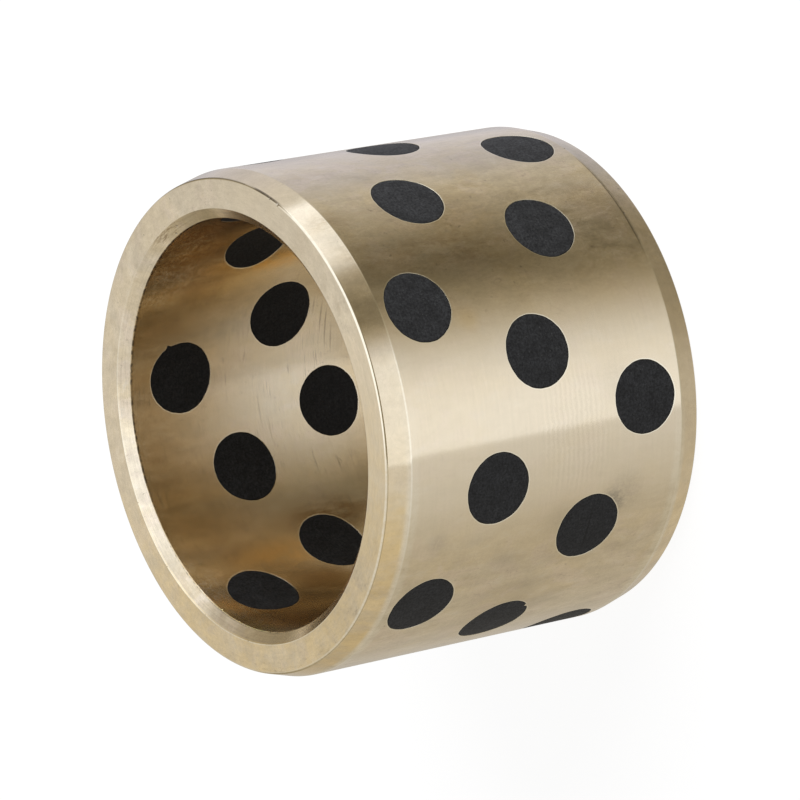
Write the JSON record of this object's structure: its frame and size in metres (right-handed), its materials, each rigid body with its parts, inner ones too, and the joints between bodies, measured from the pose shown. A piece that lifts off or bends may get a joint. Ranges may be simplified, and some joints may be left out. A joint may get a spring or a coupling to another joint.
{
  "type": "graphite plugged bushing",
  "caption": "Plain cylindrical bronze bush with staggered rows of solid graphite lubricating plugs set flush through its wall and long lead-in chamfers on both ends.",
  "frame": {"origin": "centre of the lower end face, on the bush axis", "axes": "+Z along the bush axis from the lower end face to the upper one; -Y is the front"},
  "size_m": [0.08, 0.08, 0.06],
  "materials": {
    "bronze": "satin",
    "graphite": "matte"
  },
  "bodies": {
    "root": {"bronze_sleeve": "bronze", "graphite_plug_1_1": "graphite", "graphite_plug_1_2": "graphite", "graphite_plug_1_3": "graphite", "graphite_plug_1_4": "graphite", "graphite_plug_1_5": "graphite", "graphite_plug_2_1": "graphite", "graphite_plug_2_2": "graphite", "graphite_plug_2_3": "graphite", "graphite_plug_2_4": "graphite", "graphite_plug_2_5": "graphite", "graphite_plug_3_1": "graphite", "graphite_plug_3_2": "graphite", "graphite_plug_3_3": "graphite", "graphite_plug_3_4": "graphite", "graphite_plug_3_5": "graphite", "graphite_plug_4_1": "graphite", "graphite_plug_4_2": "graphite", "graphite_plug_4_3": "graphite", "graphite_plug_4_4": "graphite", "graphite_plug_4_5": "graphite", "graphite_plug_5_1": "graphite", "graphite_plug_5_2": "graphite", "graphite_plug_5_3": "graphite", "graphite_plug_5_4": "graphite", "graphite_plug_5_5": "graphite"}
  },
  "joints": []
}
